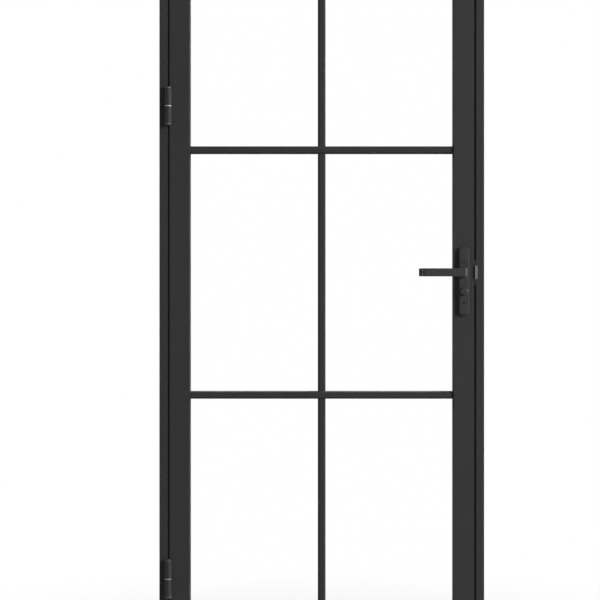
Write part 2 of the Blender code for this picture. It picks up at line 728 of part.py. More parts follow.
def build_lock(body):
    """Backplates and cylinder heads on both faces, and the faceplate and latch in the stile's edge."""
    for name, face_y, out in (("front", FRONT_Y, -1), ("rear", BACK_OF_LEAF_Y, 1)):
        seat = Vector((LEVER_AXIS.x, face_y + out * CONTACT_GAP, LEVER_AXIS.z))
        outward = DEPTH * out
        plate = turned_to(backplate_mesh(), -ACROSS * out, UP, outward)
        add_piece("backplate_" + name, plate, body, seat, BLACK_HARDWARE)
        head = round_mesh(CYLINDER_RADIUS, 0.0, PLATE_THICKNESS + CYLINDER_STAND_OUT, CYLINDER_EASE)
        head = turned_to(head, -ACROSS * out, UP, outward)
        add_piece("cylinder_" + name, head, body, seat - UP * CYLINDER_DROP, BLACK_HARDWARE)

    groove_floor = LEAF_RIGHT - EDGE_SETBACK - HARDWARE_GROOVE_DEPTH
    strip = box_mesh(
        (0.0, GROOVE_FRONT + CONTACT_GAP, -FACEPLATE_HEIGHT / 2),
        (FACEPLATE_THICKNESS, GROOVE_BACK - CONTACT_GAP, FACEPLATE_HEIGHT / 2),
    )
    seat = Vector((groove_floor + CONTACT_GAP, FRONT_Y, LEVER_AXIS.z - CYLINDER_DROP / 2))
    add_piece("lock_faceplate", strip, body, seat, BRIGHT_STEEL)

    middle = (GROOVE_FRONT + GROOVE_BACK) / 2
    nose = [
        (0.0, middle - LATCH_WIDTH / 2),
        (0.0, middle + LATCH_WIDTH / 2),
        (LATCH_STAND_OUT - LATCH_NOSE, middle + LATCH_WIDTH / 2),
        (LATCH_STAND_OUT, middle - LATCH_WIDTH / 2 + LATCH_NOSE),
        (LATCH_STAND_OUT, middle - LATCH_WIDTH / 2),
    ]
    latch = drawn_out([nose], LATCH_HEIGHT)
    latch.transform(Matrix.Translation((0.0, 0.0, -LATCH_HEIGHT / 2)))
    outer_face = groove_floor + FACEPLATE_THICKNESS + 2 * CONTACT_GAP
    add_piece("latch_bolt", latch, body, (outer_face, FRONT_Y, LEVER_AXIS.z), BRIGHT_STEEL)


def lever_mesh(out):
    """An L of flat bar seen in plan, drawn out upwards, with a round journal that turns in the backplate."""
    neck = LEVER_NECK_WIDTH / 2
    base = PLATE_THICKNESS + 2 * CONTACT_GAP + HAIRLINE
    front = LEVER_PROJECTION
    inner = front - LEVER_BAR_THICKNESS
    plan = [
        (neck, base),
        (neck, front),
        (-LEVER_REACH, front),
        (-LEVER_REACH, inner),
        (-neck, inner),
        (-neck, base),
    ]
    radii = [0, LEVER_OUTER_ROUNDING, LEVER_END_ROUNDING, 0, LEVER_INNER_ROUNDING, 0]
    plan = rounded(plan, radii, LEVER_STEPS)
    bar = drawn_out([plan], LEVER_BAR_HEIGHT)
    bar.transform(Matrix.Translation((0.0, 0.0, -LEVER_BAR_HEIGHT / 2)))
    shape = bmesh.new()
    shape.from_mesh(bar)
    sharp = [
        e
        for e in shape.edges
        if len(e.link_faces) == 2
        and e.calc_face_angle() > CREASE_ANGLE
        and any(v.co.y > base + WELD for v in e.verts)
    ]
    bevel_edges(shape, sharp, LEVER_EASE, CORNER_STEPS)
    bar = finished(shape, bar)
    journal = round_mesh(JOURNAL_RADIUS, CONTACT_GAP, base + LEVER_NECK_WIDTH / 2)
    journal = turned_to(journal, -ACROSS, UP, DEPTH)
    lever = combined(bar, journal, "UNION")
    return turned_to(lever, ACROSS, DEPTH * out, UP)


def build_levers(body):
    """Lever handles on both faces and the square spindle that joins them through the stile."""
    for name, face_y, out in (("front", FRONT_Y, -1), ("rear", BACK_OF_LEAF_Y, 1)):
        place = (LEVER_AXIS.x, face_y, LEVER_AXIS.z)
        add_piece("lever_" + name, lever_mesh(out), body, place, BLACK_HARDWARE)
    half = SPINDLE_SIDE / 2
    spindle = box_mesh((-half, 0.0, -half), (half, LEAF_THICKNESS, half))
    add_piece("lever_spindle", spindle, body, LEVER_AXIS, BRIGHT_STEEL)


def build_door():
    frame = body_empty("frame_body", Vector((0.0, 0.0, 0.0)))
    leaf = body_empty("leaf_body", HINGE_AXIS.copy())
    lever = body_empty("lever_body", LEVER_AXIS.copy(), parent=leaf)
    build_frame(frame)
    build_keep(frame)
    build_hinges(frame, leaf)
    build_stiles_and_rails(leaf)
    build_bars(leaf)
    build_panes(leaf)
    build_lock(leaf)
    build_levers(lever)


build_door()
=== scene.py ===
# %% [markdown]
# # A glazed aluminium door
#
# The door's construction comes ready made: 42 solids on three bodies, the fixed frame, the
# swinging leaf and the lever handle. This lesson dresses them. It gives every surface its finish,
# adds the small things that a door fitter would look for, and lights the whole like a product
# picture: black profiles and clear panes in a white studio.

# %% Load the door as packed
import json
import math

import bmesh
import bpy
from mathutils import Matrix, Vector


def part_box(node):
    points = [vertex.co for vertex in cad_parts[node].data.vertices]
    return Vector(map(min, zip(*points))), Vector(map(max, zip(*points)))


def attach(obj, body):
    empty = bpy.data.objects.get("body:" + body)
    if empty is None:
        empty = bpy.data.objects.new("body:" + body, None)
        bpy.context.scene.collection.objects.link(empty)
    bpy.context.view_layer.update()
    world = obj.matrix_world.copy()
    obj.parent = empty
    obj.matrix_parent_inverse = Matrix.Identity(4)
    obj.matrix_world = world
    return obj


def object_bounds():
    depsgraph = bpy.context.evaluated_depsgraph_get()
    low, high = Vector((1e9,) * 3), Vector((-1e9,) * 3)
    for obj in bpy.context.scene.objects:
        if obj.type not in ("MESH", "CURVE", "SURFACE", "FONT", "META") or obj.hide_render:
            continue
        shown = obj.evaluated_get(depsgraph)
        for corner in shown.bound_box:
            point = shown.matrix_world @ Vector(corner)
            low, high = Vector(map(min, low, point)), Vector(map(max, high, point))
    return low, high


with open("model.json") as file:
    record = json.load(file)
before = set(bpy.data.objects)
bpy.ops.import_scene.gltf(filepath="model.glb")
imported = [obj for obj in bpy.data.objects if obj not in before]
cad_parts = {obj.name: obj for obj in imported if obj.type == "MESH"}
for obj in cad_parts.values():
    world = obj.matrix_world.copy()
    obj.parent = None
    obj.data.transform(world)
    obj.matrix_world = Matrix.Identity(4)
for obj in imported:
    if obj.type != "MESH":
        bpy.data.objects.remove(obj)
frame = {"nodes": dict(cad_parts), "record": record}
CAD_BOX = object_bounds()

NODES = frame["nodes"]
MM = 0.001

# %% [markdown]
# ## Where things are
#
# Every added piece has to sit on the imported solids. The numbers could be copied from the CAD, but
# then a changed door would leave them behind. So nothing is measured twice: the faces of the leaf,
# the lever's axis and the hinges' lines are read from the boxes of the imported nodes.

# %% Read places from the nodes
FRONT, REAR = Vector((0, -1, 0)), Vector((0, 1, 0))
RIGHT, LEFT = Vector((1, 0, 0)), Vector((-1, 0, 0))
DOWN = Vector((0, 0, -1))
SIDES = (("front", FRONT, 0), ("rear", REAR, 1))    # the last number picks the box's corner on that side


def middle(node):
    """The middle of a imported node's box."""
    low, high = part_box(node)
    return (low + high) / 2


LEAF_FRONT, LEAF_REAR = (corner.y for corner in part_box("stile_lock_side"))
HINGE_STILE_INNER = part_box("stile_hinge_side")[1].x
LOCK_STILE_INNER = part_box("stile_lock_side")[0].x
LEVER_AXIS = middle("lever_spindle")
DOOR_CENTRE = (CAD_BOX[0] + CAD_BOX[1]) / 2
print("leaf faces at y", round(LEAF_FRONT, 4), round(LEAF_REAR, 4), "lever at z", round(LEVER_AXIS.z, 4))

# %% [markdown]
# ## The camera
#
# The photograph was taken straight on with a long lens at lever height, and it is cropped closer
# than the door is tall. Tilting the camera would move the picture down, but it would also make the
# stiles lean. So the camera looks exactly along +Y, and a small shift of the lens does the moving:
# the upright lines stay parallel.

# %% Set up the camera
CAMERA_DISTANCE = 5.0
CAMERA_ASIDE = -0.0586
CAMERA_HEIGHT = 1.0647
LENS_LENGTH = 111.5
LENS_SHIFT = -0.0459
SENSOR_WIDTH = 36.0


def make_camera():
    lens = bpy.data.cameras.new("studio_camera")
    lens.lens = LENS_LENGTH
    lens.sensor_width = SENSOR_WIDTH
    lens.shift_y = LENS_SHIFT
    camera = bpy.data.objects.new("studio_camera", lens)
    camera.location = (CAMERA_ASIDE, LEAF_FRONT - CAMERA_DISTANCE, CAMERA_HEIGHT)
    camera.rotation_euler = (math.radians(90), 0.0, 0.0)
    bpy.context.scene.collection.objects.link(camera)
    bpy.context.scene.camera = camera


make_camera()
bpy.context.scene.view_settings.view_transform = "Standard"
print("camera", CAMERA_DISTANCE, "m in front, lens", LENS_LENGTH, "mm")

# %% [markdown]
# ## The studio
#
# Black on white shows its form by where the light comes from. The main lamp is a tall soft box far
# to the right, so that plates and levers throw soft shadows to the left and their rounded edges
# carry a long glint. A weak lamp beside the camera opens those shadows. Two more behind the door
# keep the rear readable, and the left one is turned far enough to light the hinge side. A real
# studio would hide its lamps behind screens. Here the fill lamp and the left one are taken out of
# the gloss, and no lamp is seen through glass, so that the panes show no bright rectangles.
#
# The sky does two jobs. To the eye, in gloss and through clear glass it is plain white. As light
# on the paint it is dim, or it would wash out the black.

# %% Light the studio
LAMPS = {
    "key_lamp": dict(azimuth=60, elevation=16, distance=8.0, size=(2.2, 4.4), power=870.0),
    "fill_lamp": dict(azimuth=2, elevation=6, distance=6.5, size=(1.4, 1.4), power=68.0, in_gloss=False),
    "back_right_lamp": dict(azimuth=140, elevation=30, distance=7.0, size=(2.0, 2.0), power=330.0),
    "back_left_lamp": dict(
        azimuth=234, elevation=25, distance=7.0, size=(2.0, 2.0), power=470.0, in_gloss=False
    ),
}
SKY_ABOVE, SKY_BELOW = 0.13, 0.04
SKY_TURNS = (-0.25, 0.35)
WHITE = (1.0, 1.0, 1.0, 1.0)


def add_lamp(name, azimuth, elevation, distance, size, power, in_gloss=True):
    """A flat lamp that faces the door; azimuth 0 is straight in front of it, turning to the right."""
    azimuth, elevation = math.radians(azimuth), math.radians(elevation)
    flat = math.cos(elevation)
    way = Vector((math.sin(azimuth) * flat, -math.cos(azimuth) * flat, math.sin(elevation)))
    light = bpy.data.lights.new(name, "AREA")
    light.shape = "RECTANGLE"
    light.size, light.size_y = size
    light.energy = power
    lamp = bpy.data.objects.new(name, light)
    lamp.location = DOOR_CENTRE + way * distance
    lamp.rotation_euler = (-way).to_track_quat("-Z", "Y").to_euler()
    lamp.visible_glossy = in_gloss
    lamp.visible_transmission = False
    bpy.context.scene.collection.objects.link(lamp)


def maths(tree, operation, first, second=None):
    """A Math node; each operand is a number or an output socket."""
    node = tree.nodes.new("ShaderNodeMath")
    node.operation = operation
    for socket, value in zip(node.inputs, (first, second)):
        if isinstance(value, bpy.types.NodeSocket):
            tree.links.new(value, socket)
        elif value is not None:
            socket.default_value = value
    return node.outputs[0]


def seen_share(tree):
    """1 where the eye sees this surface, directly, in gloss or through glass; 0 where it lights paint.

    Light that has met paint and then passes a pane is a transmission ray too, so the number of
    diffuse bounces is asked as well.
    """
    path = tree.nodes.new("ShaderNodeLightPath")
    seen = maths(tree, "MAXIMUM", path.outputs["Is Camera Ray"], path.outputs["Is Transmission Ray"])
    seen = maths(tree, "MAXIMUM", seen, path.outputs["Is Glossy Ray"])
    no_bounce = maths(tree, "LESS_THAN", path.outputs["Diffuse Depth"], 0.5)
    return maths(tree, "MULTIPLY", seen, no_bounce)


def mapped(tree, value, low, high, to_low, to_high, smooth=False):
    """The value's stretch from low to high, laid over the stretch from to_low to to_high."""
    node = tree.nodes.new("ShaderNodeMapRange")
    node.interpolation_type = "SMOOTHSTEP" if smooth else "LINEAR"
    for name, number in (("From Min", low), ("From Max", high), ("To Min", to_low), ("To Max", to_high)):
        node.inputs[name].default_value = number
    tree.links.new(value, node.inputs["Value"])
    return node.outputs["Result"]


def make_sky():
    world = bpy.data.worlds.new("studio_sky")
    bpy.context.scene.world = world
    world.use_nodes = True
    tree = world.node_tree
    tree.nodes.clear()
    place = tree.nodes.new("ShaderNodeTexCoord")
    split = tree.nodes.new("ShaderNodeSeparateXYZ")
    tree.links.new(place.outputs["Generated"], split.inputs[0])
    light = tree.nodes.new("ShaderNodeBackground")
    strength = mapped(tree, split.outputs["Z"], *SKY_TURNS, SKY_BELOW, SKY_ABOVE)
    tree.links.new(strength, light.inputs["Strength"])
    seen = tree.nodes.new("ShaderNodeBackground")
    seen.inputs["Color"].default_value = WHITE
    mix = tree.nodes.new("ShaderNodeMixShader")
    tree.links.new(seen_share(tree), mix.inputs["Fac"])
    tree.links.new(light.outputs[0], mix.inputs[1])
    tree.links.new(seen.outputs[0], mix.inputs[2])
    output = tree.nodes.new("ShaderNodeOutputWorld")
    tree.links.new(mix.outputs[0], output.inputs["Surface"])


make_sky()
for name, values in LAMPS.items():
    add_lamp(name, **values)
print(len(LAMPS), "lamps and a sky of", SKY_BELOW, "to", SKY_ABOVE)

# %% [markdown]
# ## The floor
#
# A product picture stands on paper that curves up into the background. This door is looked at from
# all sides, and from some of them such a sweep would hide it. So the floor is a wide flat disc.
# Close to the door part of it is ordinary paint, which takes a soft shadow. Further out it turns
# into the plain white of the background, so that no horizon shows.

# %% Lay the floor
FLOOR_RADIUS = 30.0
FLOOR_SIDES = 96
FLOOR_DROP = 1 * MM
PAINT_REACH, WHITE_REACH = 0.35, 1.7
WHITE_SHARE_NEAR, WHITE_SHARE_FAR = 0.74, 1.0
FLOOR_PAINT = (0.36, 0.36, 0.36, 1.0)


def floor_material():
    material = bpy.data.materials.new("studio_floor")
    material.use_nodes = True
    tree = material.node_tree
    tree.nodes.clear()
    paint = tree.nodes.new("ShaderNodeBsdfDiffuse")
    paint.inputs["Color"].default_value = FLOOR_PAINT
    white = tree.nodes.new("ShaderNodeEmission")
    place = tree.nodes.new("ShaderNodeTexCoord")
    distance = tree.nodes.new("ShaderNodeVectorMath")
    distance.operation = "LENGTH"
    tree.links.new(place.outputs["Object"], distance.inputs[0])
    away = distance.outputs["Value"]
    fade = mapped(tree, away, PAINT_REACH, WHITE_REACH, WHITE_SHARE_NEAR, WHITE_SHARE_FAR, smooth=True)
    mix = tree.nodes.new("ShaderNodeMixShader")
    tree.links.new(maths(tree, "MULTIPLY", fade, seen_share(tree)), mix.inputs["Fac"])
    tree.links.new(paint.outputs[0], mix.inputs[1])
    tree.links.new(white.outputs[0], mix.inputs[2])
    output = tree.nodes.new("ShaderNodeOutputMaterial")
    tree.links.new(mix.outputs[0], output.inputs["Surface"])
    return material


def make_floor():
    shape = bmesh.new()
    bmesh.ops.create_circle(shape, cap_ends=True, segments=FLOOR_SIDES, radius=FLOOR_RADIUS)
    bmesh.ops.translate(shape, verts=shape.verts, vec=(0.0, 0.0, CAD_BOX[0].z - FLOOR_DROP))
    mesh = bpy.data.meshes.new("studio_floor")
    shape.to_mesh(mesh)
    shape.free()
    mesh.materials.append(floor_material())
    floor = bpy.data.objects.new("studio_floor", mesh)
    bpy.context.scene.collection.objects.link(floor)


make_floor()
print("floor of", FLOOR_RADIUS, "m radius, all white from", WHITE_REACH, "m")

# %% [markdown]
# ## What the finishes share
#
# Sprayed powder melts into a skin with a very fine orange peel, and its shade wanders a little
# from place to place. The hardware's lacquer does the same on a finer scale. An image of such a
# skin would blur close by and repeat on a long stile. Noise does neither, so one node group makes
# the effect from it, and each material places the group with its own colour, roughness and grain.

# %% Node group: sprayed skin
SHADE_SCALE = 3.5
SHADE_SWING, PEEL_SHADE_SWING = 0.045, 0.03
SPRAYED_ROUGHNESS_SWING = 0.035


def group_with(name, inputs, outputs):
    """A shader node group with named inputs, each with its start value, and named outputs."""
    group = bpy.data.node_groups.new(name, "ShaderNodeTree")
    for label, kind, start in inputs:
        socket = group.interface.new_socket(label, in_out="INPUT", socket_type="NodeSocket" + kind)
        if start is not None:
            socket.default_value = start
    for label, kind in outputs:
        group.interface.new_socket(label, in_out="OUTPUT", socket_type="NodeSocket" + kind)
    entry = group.nodes.new("NodeGroupInput")
    leave = group.nodes.new("NodeGroupOutput")
    return group, entry.outputs, leave.inputs


def noise(tree, place, scale, detail=2.0, roughness=0.5):
    """A Noise Texture at a scale that is a number or an output socket; gives its factor."""
    node = tree.nodes.new("ShaderNodeTexNoise")
    node.inputs["Detail"].default_value = detail
    node.inputs["Roughness"].default_value = roughness
    tree.links.new(place, node.inputs["Vector"])
    if isinstance(scale, bpy.types.NodeSocket):
        tree.links.new(scale, node.inputs["Scale"])
    else:
        node.inputs["Scale"].default_value = scale
    return node.outputs["Fac"]


def swung(tree, factor, low, high):
    """A noise's factor, which stays within about 0.3 to 0.7, laid over the stretch from low to high."""
    return mapped(tree, factor, 0.3, 0.7, low, high)


def tinted(tree, colour, shade):
    """A colour times a shade near 1."""
    node = tree.nodes.new("ShaderNodeVectorMath")
    node.operation = "SCALE"
    tree.links.new(colour, node.inputs[0])
    tree.links.new(shade, node.inputs["Scale"])
    return node.outputs[0]


def make_sprayed_skin():
    group, entry, leave = group_with(
        "sprayed_skin",
        [
            ("Place", "Vector", None), ("Colour", "Color", None),
            ("Roughness", "Float", 0.5), ("Grain", "Float", 900.0),
        ],
        [("Colour", "Color"), ("Roughness", "Float"), ("Height", "Float")],
    )
    cloud = noise(group, entry["Place"], SHADE_SCALE, detail=4.0, roughness=0.55)
    peel = noise(group, entry["Place"], entry["Grain"])
    wander = swung(group, cloud, 1 - SHADE_SWING, 1 + SHADE_SWING)
    speckle = swung(group, peel, -PEEL_SHADE_SWING, PEEL_SHADE_SWING)
    shade = maths(group, "ADD", wander, speckle)
    group.links.new(tinted(group, entry["Colour"], shade), leave["Colour"])
    uneven = swung(group, cloud, -SPRAYED_ROUGHNESS_SWING, SPRAYED_ROUGHNESS_SWING)
    group.links.new(maths(group, "ADD", entry["Roughness"], uneven), leave["Roughness"])
    group.links.new(peel, leave["Height"])
    return group


SPRAYED_SKIN = make_sprayed_skin()
print("group", SPRAYED_SKIN.name, [item.name for item in SPRAYED_SKIN.interface.items_tree])

# %% [markdown]
# A pale film lies on whatever looks up: the tops of the bars, the sill and the levers. It is partly
# dust and partly painted light from above, which lightens those tops. It is almost even and thickest
# where a surface is level. It could be painted by hand, but a mask from the surface's normal and two
# weak noises finds every such face by itself. The group says how much of the film lies there, and
# the material mixes its own colour by it.

# %% Node group: dust and painted top light
DUST_AND_SHEEN_PATCH_SCALE = 14.0
DUST_AND_SHEEN_FINE_SCALE = 1300.0
DUST_AND_SHEEN_THINNEST = 0.88
DUST_AND_SHEEN_SPECK_RANGE = (0.35, 0.65)
DUST_AND_SHEEN_SLOPE, DUST_AND_SHEEN_LEVEL = 0.55, 1.0    # the normal's upward share where the dust and painted top light begin and where they are full


def make_settled_dust():
    group, entry, leave = group_with(
        "settled_dust", [("Place", "Vector", None), ("Amount", "Float", 0.1)], [("Mask", "Float")]
    )
    surface = group.nodes.new("ShaderNodeNewGeometry")
    split = group.nodes.new("ShaderNodeSeparateXYZ")
    group.links.new(surface.outputs["Normal"], split.inputs[0])
    level = mapped(group, split.outputs["Z"], DUST_AND_SHEEN_SLOPE, DUST_AND_SHEEN_LEVEL, 0.0, 1.0, smooth=True)
    patches = swung(group, noise(group, entry["Place"], DUST_AND_SHEEN_PATCH_SCALE), DUST_AND_SHEEN_THINNEST, 1.0)
    fine = noise(group, entry["Place"], DUST_AND_SHEEN_FINE_SCALE)
    specks = mapped(group, fine, *DUST_AND_SHEEN_SPECK_RANGE, DUST_AND_SHEEN_THINNEST, 1.0)
    cover = maths(group, "MULTIPLY", maths(group, "MULTIPLY", patches, specks), level)
    group.links.new(maths(group, "MULTIPLY", cover, entry["Amount"]), leave["Mask"])
    return group


DUST_AND_SHEEN_MASK = make_settled_dust()
print("group", DUST_AND_SHEEN_MASK.name, "starts where the normal's Z is", DUST_AND_SHEEN_SLOPE)

# %% [markdown]
# Brushed steel has fine scratches that all run one way. Modelling them is out of the question at
# this size. A noise stretched fifty to a hundred times along that way gives them: its streaks shift
# the shade and the roughness and stand as a very shallow height.

# %% Node group: brushed streaks
STREAK_SCALE = 1600.0
STREAK_DARKEST, STREAK_BRIGHTEST = 0.9, 1.06
STREAK_ROUGHNESS_SWING = 0.08


def make_brushed_streaks():
    group, entry, leave = group_with(
        "brushed_streaks",
        [
            ("Place", "Vector", None), ("Colour", "Color", None),
            ("Roughness", "Float", 0.3), ("Squeeze", "Vector", None),
        ],
        [("Colour", "Color"), ("Roughness", "Float"), ("Height", "Float")],
    )
    squeezed = group.nodes.new("ShaderNodeVectorMath")
    squeezed.operation = "MULTIPLY"
    group.links.new(entry["Place"], squeezed.inputs[0])
    group.links.new(entry["Squeeze"], squeezed.inputs[1])
    streaks = noise(group, squeezed.outputs[0], STREAK_SCALE, detail=3.0, roughness=0.6)
    shade = swung(group, streaks, STREAK_DARKEST, STREAK_BRIGHTEST)
    group.links.new(tinted(group, entry["Colour"], shade), leave["Colour"])
    uneven = swung(group, streaks, -STREAK_ROUGHNESS_SWING, STREAK_ROUGHNESS_SWING)
    group.links.new(maths(group, "ADD", entry["Roughness"], uneven), leave["Roughness"])
    group.links.new(streaks, leave["Height"])
    return group


BRUSHED_STREAKS = make_brushed_streaks()
print("groups:", [group.name for group in bpy.data.node_groups])

# %% [markdown]
# ## Finishes
#
# Eight finishes cover the door: four sprayed or moulded ones, the painted shade inside a socket,
# two steels and glass. The Principled shader and every number that is the same all over stay in the
# material itself, and the groups only bring what changes over the surface.

# %% Helpers for a finish
# The pale film's colour: partly dust, partly painted light from above on what looks up.
DUST_AND_SHEEN_COLOUR = (0.30, 0.29, 0.28, 1.0)


def principled(name, specular, metallic=0.0):
    """A material, its tree, its Principled shader and the place on the object that its effects use."""
    material = bpy.data.materials.new(name)
    material.use_nodes = True
    tree = material.node_tree
    shader = tree.nodes["Principled BSDF"]
    shader.inputs["Specular IOR Level"].default_value = specular
    shader.inputs["Metallic"].default_value = metallic
    place = tree.nodes.new("ShaderNodeTexCoord").outputs["Object"]
    return material, tree, shader, place


def placed_group(tree, group, place, **values):
    """The group in this material, with its own values; a value's name has _ for each space."""
    node = tree.nodes.new("ShaderNodeGroup")
    node.node_tree = group
    tree.links.new(place, node.inputs["Place"])
    for label, value in values.items():
        node.inputs[label.replace("_", " ")].default_value = value
    return node.outputs


def bumped(tree, height, depth):
    """A normal from a height; depth is the distance in metres from its lowest to its highest point."""
    bump = tree.nodes.new("ShaderNodeBump")
    bump.inputs["Strength"].default_value = 1.0
    bump.inputs["Distance"].default_value = depth
    tree.links.new(height, bump.inputs["Height"])
    return bump.outputs["Normal"]


def with_dust_and_sheen(tree, place, colour, amount):
    """The colour with a pale film of dust and painted light from above on what looks up."""
    mask = placed_group(tree, DUST_AND_SHEEN_MASK, place, Amount=amount)["Mask"]
    mix = tree.nodes.new("ShaderNodeMix")
    mix.data_type = "RGBA"
    tree.links.new(mask, mix.inputs["Factor"])
    tree.links.new(colour, mix.inputs["A"])
    mix.inputs["B"].default_value = DUST_AND_SHEEN_COLOUR
    return mix.outputs["Result"]


print("dust is", DUST_AND_SHEEN_COLOUR[:3])

# %% [markdown]
# The profiles wear satin black powder coat: a rough, almost grey black with little gloss. Hinges,
# backplates and screws have a matt lacquer. Levers, cylinders and keep have a smoother one, which
# answers the lamp with a clearer glint. Seals are dull black rubber with a moulded, slightly chalky
# skin. A socket's floor is given painted shade, nearly black, because hardly any light reaches it.
# All of these are one recipe with other numbers, so one function makes them.

# %% Sprayed and moulded finishes
COAT_BLACK = (0.033, 0.033, 0.034, 1.0)
LACQUER_BLACK = (0.022, 0.022, 0.023, 1.0)
FITTING_BLACK = (0.035, 0.035, 0.036, 1.0)
SEAL_BLACK = (0.055, 0.055, 0.055, 1.0)
# painted shade for the floor of a socket
SOCKET_PAINTED_SHADE = (0.016, 0.016, 0.016, 1.0)


def sprayed_finish(name, colour, roughness, grain, depth, specular, dust):
    """A matt skin; grain is the scale of its orange peel and depth the peel's height in metres."""
    material, tree, shader, place = principled(name, specular)
    skin = placed_group(tree, SPRAYED_SKIN, place, Colour=colour, Roughness=roughness, Grain=grain)
    # A pale film, partly dust and partly painted light from above, lightens what looks up.
    tree.links.new(with_dust_and_sheen(tree, place, skin["Colour"], dust), shader.inputs["Base Color"])
    tree.links.new(skin["Roughness"], shader.inputs["Roughness"])
    tree.links.new(bumped(tree, skin["Height"], depth), shader.inputs["Normal"])
    return material


# The last number is how much of that film of dust and painted top light each finish takes.
powder_coat = sprayed_finish(
    "satin_black_powder_coat", COAT_BLACK,
    roughness=0.8, grain=850.0, depth=0.018 * MM, specular=0.05, dust=0.40,
)
matt_lacquer = sprayed_finish(
    "black_matt_lacquer", FITTING_BLACK,
    roughness=0.55, grain=1600.0, depth=0.006 * MM, specular=0.06, dust=0.08,
)
lacquer = sprayed_finish(
    "black_lever_lacquer", LACQUER_BLACK,
    roughness=0.30, grain=1600.0, depth=0.005 * MM, specular=0.26, dust=0.06,
)
rubber = sprayed_finish(
    "black_seal_rubber", SEAL_BLACK,
    roughness=0.75, grain=2400.0, depth=0.02 * MM, specular=0.10, dust=0.10,
)
# Painted shade for a socket's floor, where hardly any light reaches.
painted_socket_shade = sprayed_finish(
    "painted_socket_shade", SOCKET_PAINTED_SHADE,
    roughness=0.9, grain=1600.0, depth=0.005 * MM, specular=0.05, dust=0.0,
)
print("made", ", ".join(made.name for made in (powder_coat, matt_lacquer, lacquer, rubber, painted_socket_shade)))

# %% [markdown]
# Hinge washers, cap rings, faceplate, latch, spindle and the screws of the faceplate and the levers
# are brushed steel. The washers and rings were turned, so their scratches run round them. The
# others were drawn, and theirs run upwards. The recipe is the same, and only the squeeze differs.

# %% Steel finishes
STEEL_COLOUR = (0.27, 0.27, 0.28, 1.0)
SCRATCH_DEPTH = 0.003 * MM
ROUND_SQUEEZE, UPWARD_SQUEEZE = (0.02, 0.02, 1.0), (1.0, 1.0, 0.01)


def steel_finish(name, squeeze, roughness):
    """Brushed steel; squeeze is small along the way that the scratches run."""
    material, tree, shader, place = principled(name, specular=0.5, metallic=1.0)
    streaks = placed_group(
        tree, BRUSHED_STREAKS, place, Colour=STEEL_COLOUR, Roughness=roughness, Squeeze=squeeze
    )
    tree.links.new(streaks["Colour"], shader.inputs["Base Color"])
    tree.links.new(streaks["Roughness"], shader.inputs["Roughness"])
    tree.links.new(bumped(tree, streaks["Height"], SCRATCH_DEPTH), shader.inputs["Normal"])
    return material


turned_steel = steel_finish("turned_steel", ROUND_SQUEEZE, roughness=0.52)
drawn_steel = steel_finish("drawn_steel", UPWARD_SQUEEZE, roughness=0.34)
print("made", turned_steel.name, drawn_steel.name)

# %% [markdown]
# Toughened glass is clear, with a breath of green. The rollers that carry it through the furnace
# leave a wave too shallow to see straight on, which only bends what stands behind it at a slant. A
# low, stretched noise stands for it. Light that bends through glass finds a lamp only by chance,
# which leaves the picture grainy. So for shadow rays the material is a pale see-through film.

# %% Glass finish
GLASS_COLOUR = (0.992, 0.998, 0.995, 1.0)
GLASS_SHADOW = (0.93, 0.94, 0.935, 1.0)
GLASS_IOR = 1.5
ROLLER_WAVE_SCALE, ROLLER_WAVE_HEIGHT = 7.0, 0.02 * MM
ROLLER_WAVE_STRETCH = (0.25, 0.25, 1.0)


def glass_finish():
    material, tree, shader, place = principled("clear_toughened_glass", specular=0.5)
    shader.inputs["Base Color"].default_value = GLASS_COLOUR
    shader.inputs["Roughness"].default_value = 0.0
    shader.inputs["Transmission Weight"].default_value = 1.0
    shader.inputs["IOR"].default_value = GLASS_IOR
    stretch = tree.nodes.new("ShaderNodeMapping")
    stretch.inputs["Scale"].default_value = ROLLER_WAVE_STRETCH
    tree.links.new(place, stretch.inputs["Vector"])
    wave = noise(tree, stretch.outputs[0], ROLLER_WAVE_SCALE, detail=0.0)
    tree.links.new(bumped(tree, wave, ROLLER_WAVE_HEIGHT), shader.inputs["Normal"])
    path = tree.nodes.new("ShaderNodeLightPath")
    clear = tree.nodes.new("ShaderNodeBsdfTransparent")
    clear.inputs["Color"].default_value = GLASS_SHADOW
    mix = tree.nodes.new("ShaderNodeMixShader")
    tree.links.new(path.outputs["Is Shadow Ray"], mix.inputs["Fac"])
    tree.links.new(shader.outputs[0], mix.inputs[1])
    tree.links.new(clear.outputs[0], mix.inputs[2])
    tree.links.new(mix.outputs[0], tree.nodes["Material Output"].inputs["Surface"])
    return material


glass = glass_finish()
print("made", glass.name, "with IOR", GLASS_IOR)

# %% [markdown]
# The record names a finish for each node, so a loop gives them out. It steps aside twice: the hinge
# washers are of turned steel, and the levers, cylinders and keep wear the smoother lacquer.

# %% Give each node its finish
FINISHES = {
    "black_aluminium": powder_coat,
    "black_hardware": matt_lacquer,
    "bright_steel": drawn_steel,
    "clear_glass": glass,
    "black_rubber": rubber,
}
SMOOTHLY_SPRAYED = ("lever_front", "lever_rear", "cylinder_front", "cylinder_rear", "strike_keep")


def dress_nodes():
    for row in frame["record"]["subparts"]:
        finish = FINISHES[row["material_slot"]]
        if row["node"].endswith("washer"):
            finish = turned_steel
        elif row["node"] in SMOOTHLY_SPRAYED:
            finish = lacquer
        for slot in NODES[row["node"]].material_slots:
            slot.material = finish


dress_nodes()

# %% [markdown]
# ## Edges that catch the light
#
# No edge on a real door is a perfect knife. Extruded and pressed pieces have a radius of a few
# tenths of a millimetre, and that is where a black door shows its lines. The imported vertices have
# to stay as they are, so the rounding is done by modifiers. The meshes are loose triangles: they
# are first welded and rid of the seams inside flat faces, and then their edges are beveled. Round
# forms are shaded smooth.

